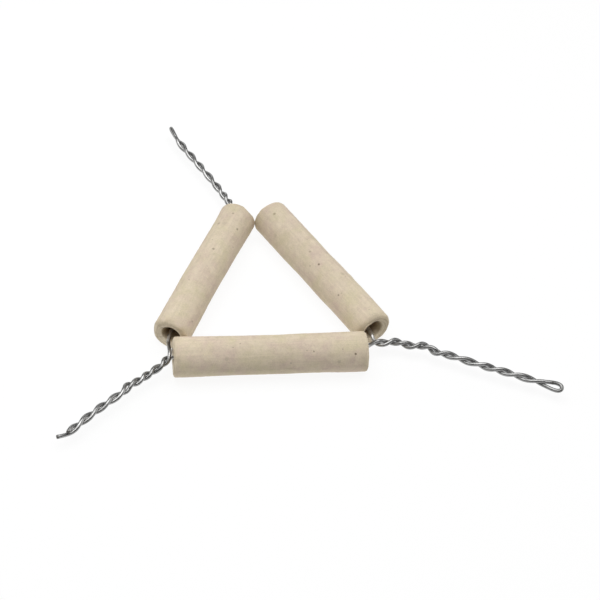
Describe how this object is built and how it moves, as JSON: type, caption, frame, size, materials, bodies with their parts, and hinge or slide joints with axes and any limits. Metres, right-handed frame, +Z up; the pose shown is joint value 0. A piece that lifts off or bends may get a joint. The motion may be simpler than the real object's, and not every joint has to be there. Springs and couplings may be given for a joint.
{
  "type": "pipe clay triangle",
  "caption": "Open triangle of fired-clay tubes strung on one steel wire that is twisted into long legs, for holding a crucible over a burner.",
  "frame": {"origin": "on the plane that the tubes stand on, under the centre of the seat: the point that is equally far from the axes of the tubes", "axes": "+X along the front tube towards the leg with the hairpin eye, which is nearly the longest way across; +Y from the front tube towards the back corner; +Z up"},
  "size_m": [0.1559, 0.1404, 0.0123],
  "materials": {
    "fired_clay": "matte, fine-pored fired pipe clay",
    "steel_wire": "bright drawn wire, galvanised"
  },
  "bodies": {
    "wire": {"wire": "steel_wire"},
    "front_tube": {"front_tube": "fired_clay"},
    "left_tube": {"left_tube": "fired_clay"},
    "right_tube": {"right_tube": "fired_clay"}
  },
  "joints": [
    {"name": "front_tube_roll", "type": "hinge", "parent": "wire", "child": "front_tube", "pos_m": [-0.00134, -0.02272, 0.00615], "axis": [1, 0, 0], "continuous": true},
    {"name": "left_tube_roll", "type": "hinge", "parent": "wire", "child": "left_tube", "pos_m": [-0.01892, 0.0131, 0.00615], "axis": [0.4306, 0.9026, 0], "continuous": true},
    {"name": "right_tube_roll", "type": "hinge", "parent": "wire", "child": "right_tube", "pos_m": [0.01876, 0.01313, 0.00615], "axis": [0.4666, -0.8845, 0], "continuous": true}
  ]
}
